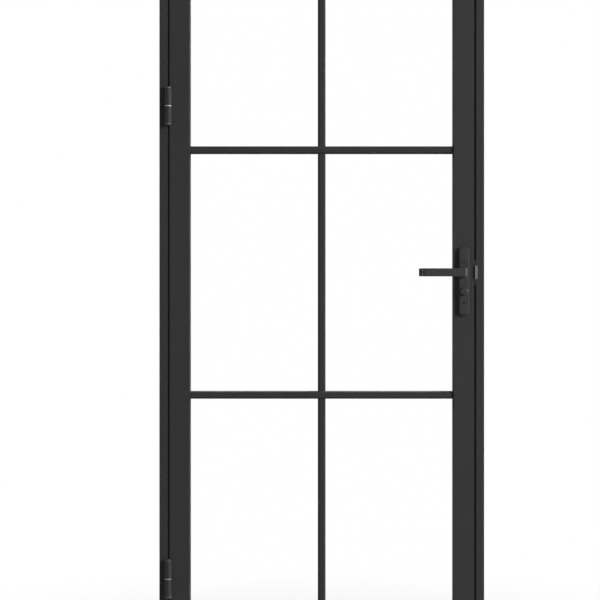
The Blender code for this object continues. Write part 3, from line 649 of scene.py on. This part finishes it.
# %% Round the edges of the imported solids
EDGE_ROUND = {
    "black_aluminium": 0.30 * MM,
    "black_hardware": 0.22 * MM,
    "bright_steel": 0.15 * MM,
    "black_rubber": 0.0,
    "clear_glass": 0.40 * MM,
}
SMOOTH_BELOW = math.radians(35)
WELD_REACH = MM / 200
FLAT_BELOW = math.radians(0.5)
EDGE_SEGMENTS = 2
LARGE_FACES_LEAD = 100


def soften(node, width):
    """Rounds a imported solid's edges by this width and shades it, all by modifiers."""
    node.data.polygons.foreach_set("use_smooth", [True] * len(node.data.polygons))
    weld = node.modifiers.new("weld", "WELD")
    weld.merge_threshold = WELD_REACH
    flat = node.modifiers.new("clear_flat_seams", "DECIMATE")
    flat.decimate_type = "DISSOLVE"
    flat.angle_limit = FLAT_BELOW
    if width:
        edge = node.modifiers.new("edge_round", "BEVEL")
        edge.width = width
        edge.segments = EDGE_SEGMENTS
        edge.limit_method = "ANGLE"
        edge.angle_limit = SMOOTH_BELOW
        edge.miter_outer = "MITER_ARC"
    split = node.modifiers.new("keep_sharp", "EDGE_SPLIT")
    split.split_angle = SMOOTH_BELOW
    shade = node.modifiers.new("flat_faces_stay_flat", "WEIGHTED_NORMAL")
    shade.weight = LARGE_FACES_LEAD


for row in frame["record"]["subparts"]:
    soften(NODES[row["node"]], EDGE_ROUND[row["material_slot"]])
print("edges rounded by", {slot: round(width / MM, 2) for slot, width in EDGE_ROUND.items()}, "mm")

# %% [markdown]
# ## Helpers for added pieces
#
# Each added piece starts as a simple bmesh, stands on the plane z = 0 while it is shaped, and is
# then turned to face its way and moved to its place. Shaping it where it sits would need other
# numbers for the front, the rear and the door's edge. This way one shape serves all of them.

# %% Shape and place a piece
JOIN_REACH = MM / 500
TURNED_SIDES = 48


def facing(outward, place):
    """The turn and move that lays a shape's +Z along outward, at place."""
    return Matrix.Translation(place) @ outward.to_track_quat("Z", "Y").to_matrix().to_4x4()


def finish_piece(name, shape, body, finish, turn):
    """Writes a shape to a piece that rides on a body; faces marked 1 take the painted shade of a socket's
    floor.
    """
    bmesh.ops.transform(shape, matrix=turn, verts=shape.verts)
    bmesh.ops.remove_doubles(shape, verts=shape.verts, dist=JOIN_REACH)
    bmesh.ops.recalc_face_normals(shape, faces=shape.faces)
    mesh = bpy.data.meshes.new(name)
    shape.to_mesh(mesh)
    shape.free()
    mesh.shade_smooth()
    mesh.set_sharp_from_angle(angle=SMOOTH_BELOW)
    mesh.materials.append(finish)
    # Faces marked 1 take the painted shade of a socket's floor.
    if any(face.material_index for face in mesh.polygons):
        mesh.materials.append(painted_socket_shade)
    piece = bpy.data.objects.new(name, mesh)
    bpy.context.scene.collection.objects.link(piece)
    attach(piece, body)


def eased(shape, edges, width):
    """Rounds the edges of a shape by this width."""
    bmesh.ops.bevel(
        shape, geom=edges, offset=width, offset_type="OFFSET", segments=EDGE_SEGMENTS, profile=0.5,
        affect="EDGES", material=-1, clamp_overlap=True,
    )


def turned_ring(inner, outer, height, ease):
    """A ring about the Z axis from z = 0 up, turned on a lathe, with eased outer corners."""
    shape = bmesh.new()
    corners = [
        (inner, 0.0), (outer - ease, 0.0), (outer, ease),
        (outer, height - ease), (outer - ease, height), (inner, height),
    ]
    verts = [shape.verts.new((radius, 0.0, up)) for radius, up in corners]
    edges = [shape.edges.new(pair) for pair in zip(verts, verts[1:] + verts[:1])]
    bmesh.ops.spin(
        shape, geom=verts + edges, cent=(0, 0, 0), axis=(0, 0, 1), angle=math.tau, steps=TURNED_SIDES,
        use_merge=True,
    )
    return shape


print("added pieces are joined within", JOIN_REACH / MM, "mm")

# %% [markdown]
# ## Hinge rings
#
# Every hinge barrel ends in a black cap, and a thin ring of steel shows between the cap and the
# knuckle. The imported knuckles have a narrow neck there. A band of steel colour on the neck would
# look flat, so a real ring is turned to fit it. The upper rings lie a little deeper than the lower.

# %% Steel rings in the hinge caps
CAP_HEIGHT = 4.5 * MM
NECK_HEIGHT = 0.8 * MM
NECK_DEPTH = 0.8 * MM
RING_PLAY = 0.06 * MM
UPPER_RING_RECESS = 0.35 * MM


def cap_ring(name, body, axis, barrel_radius, bottom, recess=RING_PLAY):
    """A ring in the neck that starts at this height, as far inside the barrel's surface as recess says."""
    height = NECK_HEIGHT - 2 * RING_PLAY
    inner = barrel_radius - NECK_DEPTH + RING_PLAY
    ring = turned_ring(inner, barrel_radius - recess, height, ease=height / 5)
    place = Vector((axis.x, axis.y, bottom + RING_PLAY))
    finish_piece(name, ring, body, turned_steel, Matrix.Translation(place))


for level in ("bottom", "middle", "top"):
    washer_low, washer_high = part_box(f"hinge_{level}_washer")
    hinge_axis = middle(f"hinge_{level}_washer")
    barrel_radius = (washer_high.x - washer_low.x) / 2
    cap_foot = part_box(f"hinge_{level}_leaf_half")[1].z - CAP_HEIGHT
    cap_ring(f"hinge_{level}_upper_ring", "leaf", hinge_axis, barrel_radius, cap_foot, UPPER_RING_RECESS)
    cap_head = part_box(f"hinge_{level}_frame_half")[0].z + CAP_HEIGHT - NECK_HEIGHT
    cap_ring(f"hinge_{level}_lower_ring", "frame", hinge_axis, barrel_radius, cap_head)
print("six rings, radius", round(barrel_radius / MM, 2), "mm")

# %% [markdown]
# ## Screws
#
# Flat socket screws hold the plates, the keep and the lock's faceplate. A Boolean could cut the
# socket, but it leaves long thin faces that shade badly. So the head is a short cylinder whose top
# face is swapped for a hexagon, bridged to the rim. The hexagon's edges are then pushed down to
# make the socket, and its floor is marked for painted shade, since little light reaches it.

# %% A round head with a pocket in it
PLATE_SCREW = {"radius": 3.7 * MM, "height": 0.8 * MM, "socket": 2.7 * MM, "depth": 0.6 * MM}
FACE_SCREW = {"radius": 3.3 * MM, "height": 0.5 * MM, "socket": 1.7 * MM, "depth": 0.42 * MM}
SET_SCREW = {"radius": 2.3 * MM, "height": 0.3 * MM, "socket": 1.3 * MM, "depth": 0.25 * MM}
HEAD_SIDES, HEXAGON = 28, 6
UNSTRETCHED = (1.0, 1.0, 1.0)


def boundary(shape):
    return [edge for edge in shape.edges if edge.is_boundary or edge.is_wire]


def sunk(shape, rim, depth):
    """Pushes a loop of boundary edges down into a pocket and closes its floor, marked for painted shade."""
    pushed = bmesh.ops.extrude_edge_only(shape, edges=rim)["geom"]
    floor = [item for item in pushed if isinstance(item, bmesh.types.BMVert)]
    bmesh.ops.translate(shape, verts=floor, vec=(0.0, 0.0, -depth))
    for face in bmesh.ops.holes_fill(shape, edges=boundary(shape), sides=0)["faces"]:
        face.material_index = 1


def pocketed_head(radius, height, ease, sides, pocket_sides, pocket_radius, pocket_stretch, pocket_depth):
    """A round head on z = 0 with an eased rim and a pocket, whose outline is a stretched polygon."""
    shape = bmesh.new()
    bmesh.ops.create_cone(shape, cap_ends=True, segments=sides, radius1=radius, radius2=radius, depth=height)
    bmesh.ops.translate(shape, verts=shape.verts, vec=(0.0, 0.0, height / 2))
    near_top = height * 0.99
    rim = [edge for edge in shape.edges if all(vert.co.z > near_top for vert in edge.verts)]
    eased(shape, rim, ease)
    crown = max(shape.faces, key=lambda face: face.calc_center_median().z)
    bmesh.ops.delete(shape, geom=[crown], context="FACES_ONLY")
    outer = boundary(shape)
    made = bmesh.ops.create_circle(shape, cap_ends=False, segments=pocket_sides, radius=pocket_radius)
    pocket = made["verts"]
    bmesh.ops.scale(shape, verts=pocket, vec=pocket_stretch)
    bmesh.ops.translate(shape, verts=pocket, vec=(0.0, 0.0, height))
    outline = [edge for edge in shape.edges if edge.is_wire]
    bmesh.ops.bridge_loops(shape, edges=outer + outline)
    sunk(shape, boundary(shape), pocket_depth)
    return shape


def socket_head(radius, height, socket, depth):
    """A screw's head with a hexagonal socket."""
    return pocketed_head(radius, height, height / 3, HEAD_SIDES, HEXAGON, socket, UNSTRETCHED, depth)


head_radii = [round(size["radius"] / MM, 1) for size in (PLATE_SCREW, FACE_SCREW, SET_SCREW)]
print("screw heads of", head_radii, "mm radius")

# %% [markdown]
# Two screws hold each backplate, one above the lever and one near its foot. Two more hold the
# faceplate in the leaf's edge and two the keep on the jamb, on the lock's own centre line. Each
# stands a twentieth of a millimetre inside its plate, so that no gap shows under its rim.

# %% Screws of the plates, the keep and the faceplate
SCREW_ABOVE_LEVER = 28.4 * MM
SCREW_BELOW_LEVER = 81.9 * MM
KEEP_SCREW_SPREAD = 24 * MM
FACEPLATE_SCREW_INSET = 12 * MM
STANDING_IN = 0.05 * MM


def add_screw(name, size, body, outward, place, finish=matt_lacquer):
    turn = facing(outward, place - outward * STANDING_IN)
    finish_piece(name, socket_head(**size), body, finish, turn)


for side, outward, end in SIDES:
    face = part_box(f"backplate_{side}")[end].y
    for level, up in (("upper", SCREW_ABOVE_LEVER), ("lower", -SCREW_BELOW_LEVER)):
        place = Vector((LEVER_AXIS.x, face, LEVER_AXIS.z + up))
        add_screw(f"backplate_{side}_{level}_screw", PLATE_SCREW, "leaf", outward, place)

strip_low, strip_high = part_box("lock_faceplate")
lock_line = middle("latch_bolt").y
upper, lower = strip_high.z - FACEPLATE_SCREW_INSET, strip_low.z + FACEPLATE_SCREW_INSET
for level, height in (("upper", upper), ("lower", lower)):
    place = Vector((strip_high.x, lock_line, height))
    add_screw(f"faceplate_{level}_screw", FACE_SCREW, "leaf", RIGHT, place, drawn_steel)

keep_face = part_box("strike_keep")[0].x
for level, up in (("upper", KEEP_SCREW_SPREAD), ("lower", -KEEP_SCREW_SPREAD)):
    place = Vector((keep_face, lock_line, middle("strike_keep").z + up))
    add_screw(f"keep_{level}_screw", FACE_SCREW, "frame", LEFT, place)
print("eight screws, the faceplate's at z", round(upper, 4), "and", round(lower, 4))

# %% [markdown]
# ## Lever details
#
# A small set screw under the neck holds each lever to the spindle, and a nylon washer keeps the
# neck from rubbing on the plate. Both are seen only from close by or from below. They are the same
# turned ring and the same socket head as before, at other sizes, and they turn with the lever.

# %% Set screws and washers of the levers
NYLON_INNER, NYLON_OUTER = 7.1 * MM, 10.2 * MM
NYLON_HEIGHT, NYLON_EASE = 1.0 * MM, 0.2 * MM
NYLON_PLAY = 0.1 * MM
NECK_REACH = 12 * MM

for side, outward, end in SIDES:
    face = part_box(f"backplate_{side}")[end].y
    nylon = turned_ring(NYLON_INNER, NYLON_OUTER, NYLON_HEIGHT, NYLON_EASE)
    place = Vector((LEVER_AXIS.x, face, LEVER_AXIS.z)) + outward * NYLON_PLAY
    finish_piece(f"lever_{side}_nylon_washer", nylon, "lever", rubber, facing(outward, place))
    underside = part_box(f"lever_{side}")[0].z
    under_neck = Vector((LEVER_AXIS.x, face, underside)) + outward * NECK_REACH
    add_screw(f"lever_{side}_set_screw", SET_SCREW, "lever", DOWN, under_neck, drawn_steel)
print("set screws and washers on", len(SIDES), "levers")

# %% [markdown]
# ## The lock cylinder
#
# The round cylinder head carries the plug that the key turns: a disc that stands a hair proud,
# with a narrow keyway. It is a screw head's sister. Its pocket starts as a twelve-sided circle and
# is stretched to the keyway's width and height, which keeps its ends round.

# %% Plug and keyway
PLUG_RADIUS, PLUG_HEIGHT, PLUG_EASE = 5.6 * MM, 0.40 * MM, 0.12 * MM
KEYWAY_WIDTH, KEYWAY_HEIGHT, KEYWAY_DEPTH = 1.4 * MM, 6.6 * MM, 0.32 * MM
PLUG_SIDES, KEYWAY_SIDES = 40, 12
ONE_WIDE = 0.5    # the radius of a circle that is one across, so that the stretch is the keyway's size

for side, outward, end in SIDES:
    centre = middle(f"cylinder_{side}")
    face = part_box(f"cylinder_{side}")[end].y
    place = Vector((centre.x, face, centre.z)) - outward * STANDING_IN
    # The keyway's floor takes the painted socket shade.
    plug = pocketed_head(
        PLUG_RADIUS, PLUG_HEIGHT, PLUG_EASE, PLUG_SIDES,
        KEYWAY_SIDES, ONE_WIDE, (KEYWAY_WIDTH, KEYWAY_HEIGHT, 1.0), KEYWAY_DEPTH,
    )
    finish_piece(f"cylinder_{side}_plug", plug, "leaf", lacquer, facing(outward, place))
print("plugs at z", round(centre.z, 4))

# %% [markdown]
# ## Glazing seals
#
# Each pane is bedded between two thin rubber seals, one on each face. From the front only a hair
# of them shows, and from the side they close the joint between glass and metal. Four strips would
# leave open joints at the corners, so a seal is one flat ring: a rectangle inset by the seal's
# width, its middle removed, and pushed out from the glass.

# %% Seals round the panes
SEAL_WIDTH, SEAL_DEPTH, SEAL_EASE = 0.35 * MM, 2.0 * MM, 0.15 * MM
SEAL_PLAY = 0.05 * MM


def seal_ring(width, height):
    """A rectangular ring of seal, standing on z = 0, with its free inner edge eased."""
    shape = bmesh.new()
    bmesh.ops.create_grid(shape, x_segments=1, y_segments=1, size=0.5)
    bmesh.ops.scale(shape, verts=shape.verts, vec=(width, height, 1.0))
    pane = shape.faces[:]
    bmesh.ops.inset_region(shape, faces=pane, thickness=SEAL_WIDTH, use_boundary=True, use_even_offset=True)
    bmesh.ops.delete(shape, geom=pane, context="FACES")
    grown = bmesh.ops.extrude_face_region(shape, geom=shape.faces[:])["geom"]
    lip = [item for item in grown if isinstance(item, bmesh.types.BMVert)]
    bmesh.ops.translate(shape, verts=lip, vec=(0.0, 0.0, SEAL_DEPTH))
    bmesh.ops.recalc_face_normals(shape, faces=shape.faces)

    def free_and_inner(vert):
        from_rim = min(width / 2 - abs(vert.co.x), height / 2 - abs(vert.co.y))
        return vert.co.z > SEAL_DEPTH / 2 and from_rim > SEAL_WIDTH / 2

    inner = [edge for edge in shape.edges if all(free_and_inner(vert) for vert in edge.verts)]
    eased(shape, inner, SEAL_EASE)
    return shape


ROW_EDGES = {
    "bottom": ("bottom_rail", "cross_bar_lower"),
    "middle": ("cross_bar_lower", "cross_bar_upper"),
    "top": ("cross_bar_upper", "top_rail"),
}
for level, (below, above) in ROW_EDGES.items():
    bar_low, bar_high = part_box(f"upright_bar_{level}")
    low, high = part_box(below)[1].z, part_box(above)[0].z
    spans = (("left", HINGE_STILE_INNER, bar_low.x), ("right", bar_high.x, LOCK_STILE_INNER))
    for hand, left, right in spans:
        for side, outward, end in SIDES:
            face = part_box(f"glass_{level}_{hand}")[end].y
            ring = seal_ring(right - left - 2 * SEAL_PLAY, high - low - 2 * SEAL_PLAY)
            place = Vector(((left + right) / 2, face, (low + high) / 2)) + outward * SEAL_PLAY
            name = f"glazing_seal_{level}_{hand}_{side}"
            finish_piece(name, ring, "leaf", rubber, facing(outward, place))
print("twelve seals; a pane shows", round((right - left) / MM), "by", round((high - low) / MM), "mm")
